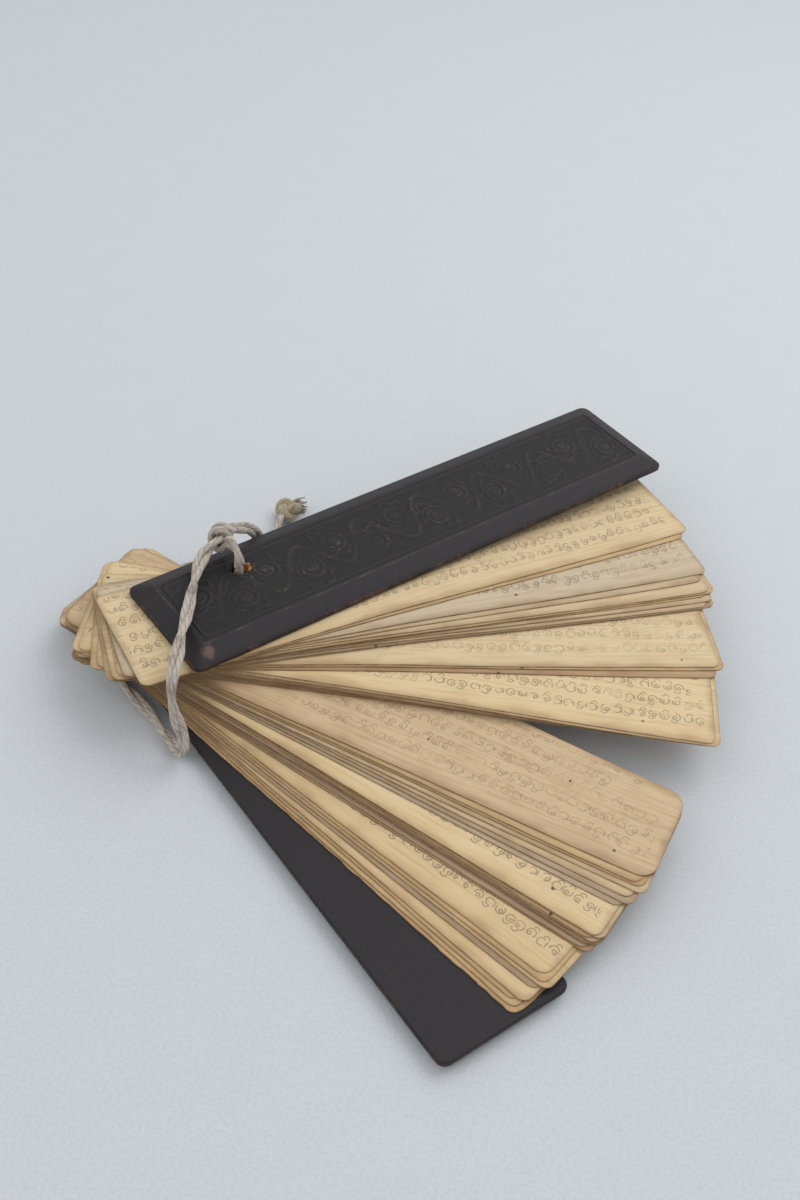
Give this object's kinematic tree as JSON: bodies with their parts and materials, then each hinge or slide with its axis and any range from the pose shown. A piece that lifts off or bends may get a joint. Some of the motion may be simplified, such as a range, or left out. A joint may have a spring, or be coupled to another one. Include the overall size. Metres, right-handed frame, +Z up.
{
  "type": "palm leaf manuscript",
  "caption": "Palm leaf book fanned out on a table: two dark bevelled wooden covers, loose inscribed leaves and a cotton cord through one hole.",
  "frame": {"origin": "centre of the bottom cover's flat outer face, which rests on the table", "axes": "+Z up through the stack, +X along the leaves that lie across the middle of the fan, +Y away from the reader"},
  "size_m": [0.2492, 0.3041, 0.0476],
  "materials": {
    "cover_wood": "satin, dark lacquered and worn",
    "yellow_leaf": "matt",
    "brown_leaf": "matt",
    "grey_leaf": "matt",
    "cord_cotton": "matt",
    "knot_cotton": "matt"
  },
  "bodies": {
    "bottom_cover_and_cord": {"bottom_cover": "cover_wood", "cord_core": "cord_cotton", "cord_top_strand": "cord_cotton", "cord_main_strand": "cord_cotton", "cord_knot": "knot_cotton", "cord_frayed_end": "knot_cotton"},
    "leaf_01_body": {"leaf_01": "yellow_leaf"},
    "leaf_02_body": {"leaf_02": "yellow_leaf"},
    "leaf_03_body": {"leaf_03": "yellow_leaf"},
    "leaf_04_body": {"leaf_04": "yellow_leaf"},
    "leaf_05_body": {"leaf_05": "grey_leaf"},
    "leaf_06_body": {"leaf_06": "yellow_leaf"},
    "leaf_07_body": {"leaf_07": "yellow_leaf"},
    "leaf_08_body": {"leaf_08": "yellow_leaf"},
    "leaf_09_body": {"leaf_09": "brown_leaf"},
    "leaf_10_body": {"leaf_10": "brown_leaf"},
    "leaf_11_body": {"leaf_11": "brown_leaf"},
    "leaf_12_body": {"leaf_12": "brown_leaf"},
    "leaf_13_body": {"leaf_13": "grey_leaf"},
    "leaf_14_body": {"leaf_14": "brown_leaf"},
    "leaf_15_body": {"leaf_15": "yellow_leaf"},
    "leaf_16_body": {"leaf_16": "yellow_leaf"},
    "leaf_17_body": {"leaf_17": "yellow_leaf"},
    "leaf_18_body": {"leaf_18": "grey_leaf"},
    "leaf_19_body": {"leaf_19": "grey_leaf"},
    "leaf_20_body": {"leaf_20": "yellow_leaf"},
    "leaf_21_body": {"leaf_21": "yellow_leaf"},
    "leaf_22_body": {"leaf_22": "yellow_leaf"},
    "leaf_23_body": {"leaf_23": "yellow_leaf"},
    "leaf_24_body": {"leaf_24": "brown_leaf"},
    "leaf_25_body": {"leaf_25": "brown_leaf"},
    "leaf_26_body": {"leaf_26": "brown_leaf"},
    "leaf_27_body": {"leaf_27": "yellow_leaf"},
    "leaf_28_body": {"leaf_28": "yellow_leaf"},
    "leaf_29_body": {"leaf_29": "grey_leaf"},
    "leaf_30_body": {"leaf_30": "yellow_leaf"},
    "leaf_31_body": {"leaf_31": "yellow_leaf"},
    "leaf_32_body": {"leaf_32": "yellow_leaf"},
    "leaf_33_body": {"leaf_33": "brown_leaf"},
    "leaf_34_body": {"leaf_34": "yellow_leaf"},
    "leaf_35_body": {"leaf_35": "yellow_leaf"},
    "leaf_36_body": {"leaf_36": "yellow_leaf"},
    "leaf_37_body": {"leaf_37": "grey_leaf"},
    "leaf_38_body": {"leaf_38": "yellow_leaf"},
    "leaf_39_body": {"leaf_39": "yellow_leaf"},
    "leaf_40_body": {"leaf_40": "yellow_leaf"},
    "leaf_41_body": {"leaf_41": "yellow_leaf"},
    "leaf_42_body": {"leaf_42": "yellow_leaf"},
    "leaf_43_body": {"leaf_43": "yellow_leaf"},
    "leaf_44_body": {"leaf_44": "yellow_leaf"},
    "leaf_45_body": {"leaf_45": "yellow_leaf"},
    "leaf_46_body": {"leaf_46": "yellow_leaf"},
    "top_cover_body": {"top_cover": "cover_wood"}
  },
  "joints": [
    {"name": "leaf_01_turn", "type": "hinge", "parent": "bottom_cover_and_cord", "child": "leaf_01_body", "pos_m": [-0.03906, 0.06371, 0.00574], "axis": [0, 0, 1], "range_deg": [-7.9, 83.15]},
    {"name": "leaf_02_turn", "type": "hinge", "parent": "bottom_cover_and_cord", "child": "leaf_02_body", "pos_m": [-0.03895, 0.0639, 0.00626], "axis": [0, 0, 1], "range_deg": [-8.55, 82.5]},
    {"name": "leaf_03_turn", "type": "hinge", "parent": "bottom_cover_and_cord", "child": "leaf_03_body", "pos_m": [-0.03885, 0.06409, 0.00678], "axis": [0, 0, 1], "range_deg": [-9.2, 81.85]},
    {"name": "leaf_04_turn", "type": "hinge", "parent": "bottom_cover_and_cord", "child": "leaf_04_body", "pos_m": [-0.03874, 0.06428, 0.0073], "axis": [0, 0, 1], "range_deg": [-9.85, 81.2]},
    {"name": "leaf_05_turn", "type": "hinge", "parent": "bottom_cover_and_cord", "child": "leaf_05_body", "pos_m": [-0.03864, 0.06447, 0.00782], "axis": [0, 0, 1], "range_deg": [-12.3, 78.75]},
    {"name": "leaf_06_turn", "type": "hinge", "parent": "bottom_cover_and_cord", "child": "leaf_06_body", "pos_m": [-0.03853, 0.06466, 0.00834], "axis": [0, 0, 1], "range_deg": [-12.8, 78.25]},
    {"name": "leaf_07_turn", "type": "hinge", "parent": "bottom_cover_and_cord", "child": "leaf_07_body", "pos_m": [-0.03842, 0.06485, 0.00886], "axis": [0, 0, 1], "range_deg": [-13.3, 77.75]},
    {"name": "leaf_08_turn", "type": "hinge", "parent": "bottom_cover_and_cord", "child": "leaf_08_body", "pos_m": [-0.03832, 0.06504, 0.00938], "axis": [0, 0, 1], "range_deg": [-13.8, 77.25]},
    {"name": "leaf_09_turn", "type": "hinge", "parent": "bottom_cover_and_cord", "child": "leaf_09_body", "pos_m": [-0.03821, 0.06523, 0.0099], "axis": [0, 0, 1], "range_deg": [-20.2, 70.85]},
    {"name": "leaf_10_turn", "type": "hinge", "parent": "bottom_cover_and_cord", "child": "leaf_10_body", "pos_m": [-0.03811, 0.06542, 0.01042], "axis": [0, 0, 1], "range_deg": [-20.29, 70.76]},
    {"name": "leaf_11_turn", "type": "hinge", "parent": "bottom_cover_and_cord", "child": "leaf_11_body", "pos_m": [-0.038, 0.06561, 0.01094], "axis": [0, 0, 1], "range_deg": [-20.38, 70.67]},
    {"name": "leaf_12_turn", "type": "hinge", "parent": "bottom_cover_and_cord", "child": "leaf_12_body", "pos_m": [-0.03789, 0.0658, 0.01146], "axis": [0, 0, 1], "range_deg": [-20.47, 70.58]},
    {"name": "leaf_13_turn", "type": "hinge", "parent": "bottom_cover_and_cord", "child": "leaf_13_body", "pos_m": [-0.03779, 0.06599, 0.01198], "axis": [0, 0, 1], "range_deg": [-20.56, 70.49]},
    {"name": "leaf_14_turn", "type": "hinge", "parent": "bottom_cover_and_cord", "child": "leaf_14_body", "pos_m": [-0.03768, 0.06618, 0.0125], "axis": [0, 0, 1], "range_deg": [-20.65, 70.4]},
    {"name": "leaf_15_turn", "type": "hinge", "parent": "bottom_cover_and_cord", "child": "leaf_15_body", "pos_m": [-0.03758, 0.06637, 0.01302], "axis": [0, 0, 1], "range_deg": [-20.74, 70.31]},
    {"name": "leaf_16_turn", "type": "hinge", "parent": "bottom_cover_and_cord", "child": "leaf_16_body", "pos_m": [-0.03747, 0.06656, 0.01354], "axis": [0, 0, 1], "range_deg": [-20.83, 70.22]},
    {"name": "leaf_17_turn", "type": "hinge", "parent": "bottom_cover_and_cord", "child": "leaf_17_body", "pos_m": [-0.03737, 0.06675, 0.01406], "axis": [0, 0, 1], "range_deg": [-20.92, 70.13]},
    {"name": "leaf_18_turn", "type": "hinge", "parent": "bottom_cover_and_cord", "child": "leaf_18_body", "pos_m": [-0.03726, 0.06694, 0.01458], "axis": [0, 0, 1], "range_deg": [-25.4, 65.65]},
    {"name": "leaf_19_turn", "type": "hinge", "parent": "bottom_cover_and_cord", "child": "leaf_19_body", "pos_m": [-0.03715, 0.06713, 0.0151], "axis": [0, 0, 1], "range_deg": [-25.8, 65.25]},
    {"name": "leaf_20_turn", "type": "hinge", "parent": "bottom_cover_and_cord", "child": "leaf_20_body", "pos_m": [-0.03705, 0.06732, 0.01562], "axis": [0, 0, 1], "range_deg": [-26.2, 64.85]},
    {"name": "leaf_21_turn", "type": "hinge", "parent": "bottom_cover_and_cord", "child": "leaf_21_body", "pos_m": [-0.03694, 0.06751, 0.01614], "axis": [0, 0, 1], "range_deg": [-27.5, 63.55]},
    {"name": "leaf_22_turn", "type": "hinge", "parent": "bottom_cover_and_cord", "child": "leaf_22_body", "pos_m": [-0.03684, 0.0677, 0.01666], "axis": [0, 0, 1], "range_deg": [-27.95, 63.1]},
    {"name": "leaf_23_turn", "type": "hinge", "parent": "bottom_cover_and_cord", "child": "leaf_23_body", "pos_m": [-0.03673, 0.06789, 0.01718], "axis": [0, 0, 1], "range_deg": [-28.4, 62.65]},
    {"name": "leaf_24_turn", "type": "hinge", "parent": "bottom_cover_and_cord", "child": "leaf_24_body", "pos_m": [-0.03662, 0.06808, 0.0177], "axis": [0, 0, 1], "range_deg": [-28.85, 62.2]},
    {"name": "leaf_25_turn", "type": "hinge", "parent": "bottom_cover_and_cord", "child": "leaf_25_body", "pos_m": [-0.03652, 0.06827, 0.01822], "axis": [0, 0, 1], "range_deg": [-49.8, 41.25]},
    {"name": "leaf_26_turn", "type": "hinge", "parent": "bottom_cover_and_cord", "child": "leaf_26_body", "pos_m": [-0.03641, 0.06846, 0.01874], "axis": [0, 0, 1], "range_deg": [-49.63, 41.42]},
    {"name": "leaf_27_turn", "type": "hinge", "parent": "bottom_cover_and_cord", "child": "leaf_27_body", "pos_m": [-0.03631, 0.06865, 0.01926], "axis": [0, 0, 1], "range_deg": [-49.46, 41.59]},
    {"name": "leaf_28_turn", "type": "hinge", "parent": "bottom_cover_and_cord", "child": "leaf_28_body", "pos_m": [-0.0362, 0.06884, 0.01978], "axis": [0, 0, 1], "range_deg": [-49.29, 41.76]},
    {"name": "leaf_29_turn", "type": "hinge", "parent": "bottom_cover_and_cord", "child": "leaf_29_body", "pos_m": [-0.03609, 0.06903, 0.0203], "axis": [0, 0, 1], "range_deg": [-49.12, 41.93]},
    {"name": "leaf_30_turn", "type": "hinge", "parent": "bottom_cover_and_cord", "child": "leaf_30_body", "pos_m": [-0.03599, 0.06922, 0.02082], "axis": [0, 0, 1], "range_deg": [-48.95, 42.1]},
    {"name": "leaf_31_turn", "type": "hinge", "parent": "bottom_cover_and_cord", "child": "leaf_31_body", "pos_m": [-0.03588, 0.06941, 0.02134], "axis": [0, 0, 1], "range_deg": [-48.78, 42.27]},
    {"name": "leaf_32_turn", "type": "hinge", "parent": "bottom_cover_and_cord", "child": "leaf_32_body", "pos_m": [-0.03578, 0.0696, 0.02186], "axis": [0, 0, 1], "range_deg": [-48.61, 42.44]},
    {"name": "leaf_33_turn", "type": "hinge", "parent": "bottom_cover_and_cord", "child": "leaf_33_body", "pos_m": [-0.03567, 0.06979, 0.02238], "axis": [0, 0, 1], "range_deg": [-59.5, 31.55]},
    {"name": "leaf_34_turn", "type": "hinge", "parent": "bottom_cover_and_cord", "child": "leaf_34_body", "pos_m": [-0.03556, 0.06998, 0.0229], "axis": [0, 0, 1], "range_deg": [-60, 31.05]},
    {"name": "leaf_35_turn", "type": "hinge", "parent": "bottom_cover_and_cord", "child": "leaf_35_body", "pos_m": [-0.03546, 0.07017, 0.02342], "axis": [0, 0, 1], "range_deg": [-60.5, 30.55]},
    {"name": "leaf_36_turn", "type": "hinge", "parent": "bottom_cover_and_cord", "child": "leaf_36_body", "pos_m": [-0.03535, 0.07036, 0.02394], "axis": [0, 0, 1], "range_deg": [-70.1, 20.95]},
    {"name": "leaf_37_turn", "type": "hinge", "parent": "bottom_cover_and_cord", "child": "leaf_37_body", "pos_m": [-0.03525, 0.07055, 0.02446], "axis": [0, 0, 1], "range_deg": [-70.47, 20.58]},
    {"name": "leaf_38_turn", "type": "hinge", "parent": "bottom_cover_and_cord", "child": "leaf_38_body", "pos_m": [-0.03514, 0.07074, 0.02498], "axis": [0, 0, 1], "range_deg": [-70.84, 20.21]},
    {"name": "leaf_39_turn", "type": "hinge", "parent": "bottom_cover_and_cord", "child": "leaf_39_body", "pos_m": [-0.03504, 0.07093, 0.0255], "axis": [0, 0, 1], "range_deg": [-71.21, 19.84]},
    {"name": "leaf_40_turn", "type": "hinge", "parent": "bottom_cover_and_cord", "child": "leaf_40_body", "pos_m": [-0.03493, 0.07113, 0.02602], "axis": [0, 0, 1], "range_deg": [-71.58, 19.47]},
    {"name": "leaf_41_turn", "type": "hinge", "parent": "bottom_cover_and_cord", "child": "leaf_41_body", "pos_m": [-0.03482, 0.07132, 0.02654], "axis": [0, 0, 1], "range_deg": [-71.95, 19.1]},
    {"name": "leaf_42_turn", "type": "hinge", "parent": "bottom_cover_and_cord", "child": "leaf_42_body", "pos_m": [-0.03472, 0.07151, 0.02706], "axis": [0, 0, 1], "range_deg": [-72.32, 18.73]},
    {"name": "leaf_43_turn", "type": "hinge", "parent": "bottom_cover_and_cord", "child": "leaf_43_body", "pos_m": [-0.03461, 0.0717, 0.02758], "axis": [0, 0, 1], "range_deg": [-74, 17.05]},
    {"name": "leaf_44_turn", "type": "hinge", "parent": "bottom_cover_and_cord", "child": "leaf_44_body", "pos_m": [-0.03451, 0.07189, 0.0281], "axis": [0, 0, 1], "range_deg": [-75.1, 15.95]},
    {"name": "leaf_45_turn", "type": "hinge", "parent": "bottom_cover_and_cord", "child": "leaf_45_body", "pos_m": [-0.0344, 0.07208, 0.02862], "axis": [0, 0, 1], "range_deg": [-82.1, 8.95]},
    {"name": "leaf_46_turn", "type": "hinge", "parent": "bottom_cover_and_cord", "child": "leaf_46_body", "pos_m": [-0.03429, 0.07227, 0.02914], "axis": [0, 0, 1], "range_deg": [-82.8, 8.25]},
    {"name": "top_cover_turn", "type": "hinge", "parent": "bottom_cover_and_cord", "child": "top_cover_body", "pos_m": [-0.03419, 0.07246, 0.02966], "axis": [0, 0, 1], "range_deg": [-91.05, 0]}
  ]
}
